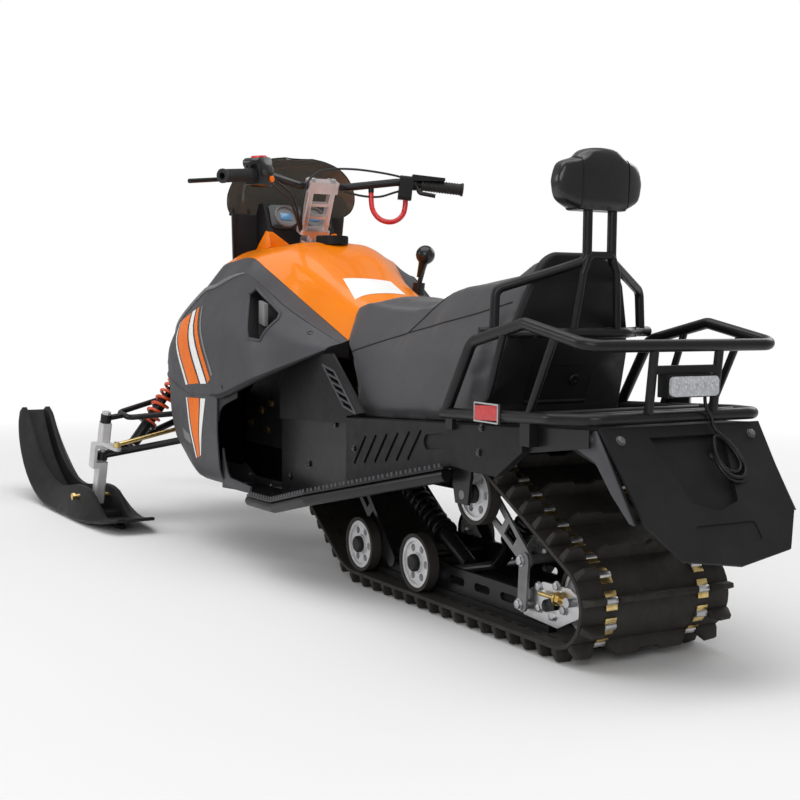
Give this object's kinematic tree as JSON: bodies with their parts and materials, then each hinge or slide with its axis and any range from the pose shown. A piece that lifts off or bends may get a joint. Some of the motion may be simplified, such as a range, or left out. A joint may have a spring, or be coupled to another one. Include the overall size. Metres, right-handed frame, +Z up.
{
  "type": "snowmobile",
  "caption": "Two-seat utility snowmobile with steered skis, a rubber track under a tunnel, a passenger backrest and a tubular rear rack.",
  "frame": {"origin": "centre of the footprint box on the floor", "axes": "+X to the front, +Y to the rider's left, +Z up"},
  "size_m": [3.1489, 1.034, 1.12],
  "materials": {
    "orange_gloss": "gloss orange moulding",
    "grey_moulding": "satin dark grey moulding",
    "black_moulding": "grained black moulding",
    "black_tube": "satin black powder coat",
    "bare_aluminium": "machined and cast",
    "steel": "zinc plated",
    "rubber": "black rubber",
    "seat_cover": "black vinyl",
    "smoke_glass": "smoked polycarbonate",
    "lens_clear": "clear lens",
    "red_reflector": "red reflector",
    "spring_red": "orange-red powder coat",
    "gold_zinc": "yellow zinc",
    "red_cord": "red curly cord",
    "engine_grey": "plain block"
  },
  "bodies": {
    "chassis": {"backrest_frame": "black_tube", "belly_pan": "grey_moulding", "cowl": "black_moulding", "dash": "black_moulding", "drive_axle": "steel", "engine": "engine_grey", "foot_wells": "grey_moulding", "front_arm": "black_tube", "front_bumper": "black_tube", "front_frame": "black_tube", "fuel_cap": "black_moulding", "headlamps": "lens_clear", "headrest": "seat_cover", "hood": "orange_gloss", "idler_brackets": "black_tube", "lamp_lead": "rubber", "lead_hank": "rubber", "lower_arms": "black_tube", "nose_mask": "grey_moulding", "rail_end_plates": "bare_aluminium", "rear_arm": "bare_aluminium", "rear_rack": "black_tube", "reflectors": "red_reflector", "running_boards": "black_tube", "seat": "seat_cover", "seat_box": "black_moulding", "shift_lever": "black_moulding", "shocks": "black_tube", "side_covers": "grey_moulding", "side_panels": "grey_moulding", "skid_plate": "black_moulding", "slide_rails": "black_tube", "slide_shoes": "black_moulding", "snow_flap": "black_moulding", "springs": "spring_red", "steering_bearing": "steel", "tail_lamp": "black_moulding", "tail_lens": "lens_clear", "tank_cover": "orange_gloss", "track": "rubber", "tunnel": "black_tube", "upper_arms": "black_tube", "upper_frame": "black_tube", "wheel_axles": "steel", "wheel_rims": "bare_aluminium", "wheel_tyres": "rubber", "windshield": "smoke_glass"},
    "steering": {"riser": "bare_aluminium", "handlebar": "black_tube", "grips": "rubber", "switch_blocks": "black_moulding", "levers": "black_tube", "tether": "red_cord"},
    "knuckle_left_body": {"knuckle_left": "bare_aluminium"},
    "knuckle_right_body": {"knuckle_right": "bare_aluminium"},
    "ski_left_body": {"ski_left": "black_moulding"},
    "ski_right_body": {"ski_right": "black_moulding"},
    "tie_rod_left_body": {"tie_rod_left": "gold_zinc"},
    "tie_rod_right_body": {"tie_rod_right": "gold_zinc"},
    "box_door_body": {"box_door": "black_moulding"}
  },
  "joints": [
    {"name": "steer", "type": "hinge", "parent": "chassis", "child": "steering", "pos_m": [0.1695, 0, 0.891], "axis": [-0.3955, 0, 0.9184], "range_deg": [-32, 32]},
    {"name": "knuckle_left_steer", "type": "hinge", "parent": "chassis", "child": "knuckle_left_body", "pos_m": [0.8345, 0.425, 0.075], "axis": [-0.2035, -0.0391, 0.9783], "range_deg": [-28, 28]},
    {"name": "tie_rod_left_pivot", "type": "hinge", "parent": "knuckle_left_body", "child": "tie_rod_left_body", "pos_m": [0.7275, 0.397, 0.246], "axis": [-0.2035, -0.0391, 0.9783], "range_deg": [-28, 28]},
    {"name": "ski_left_pitch", "type": "hinge", "parent": "knuckle_left_body", "child": "ski_left_body", "pos_m": [0.8345, 0.425, 0.075], "axis": [0, 1, 0], "range_deg": [-12, 12], "stiffness_Nm_per_rad": 60},
    {"name": "knuckle_right_steer", "type": "hinge", "parent": "chassis", "child": "knuckle_right_body", "pos_m": [0.8345, -0.425, 0.075], "axis": [-0.2035, 0.0391, 0.9783], "range_deg": [-28, 28]},
    {"name": "tie_rod_right_pivot", "type": "hinge", "parent": "knuckle_right_body", "child": "tie_rod_right_body", "pos_m": [0.7275, -0.397, 0.246], "axis": [-0.2035, 0.0391, 0.9783], "range_deg": [-28, 28]},
    {"name": "ski_right_pitch", "type": "hinge", "parent": "knuckle_right_body", "child": "ski_right_body", "pos_m": [0.8345, -0.425, 0.075], "axis": [0, 1, 0], "range_deg": [-12, 12], "stiffness_Nm_per_rad": 60},
    {"name": "box_door_hinge", "type": "hinge", "parent": "chassis", "child": "box_door_body", "pos_m": [-0.99507, 0, 0.494], "axis": [0, -1, 0], "range_deg": [0, 85]}
  ],
  "couplings": [
    {"joint": "knuckle_left_steer", "follows": "steer", "ratio": 0.85},
    {"joint": "tie_rod_left_pivot", "follows": "steer", "ratio": -0.85},
    {"joint": "knuckle_right_steer", "follows": "steer", "ratio": 0.85},
    {"joint": "tie_rod_right_pivot", "follows": "steer", "ratio": -0.85}
  ]
}
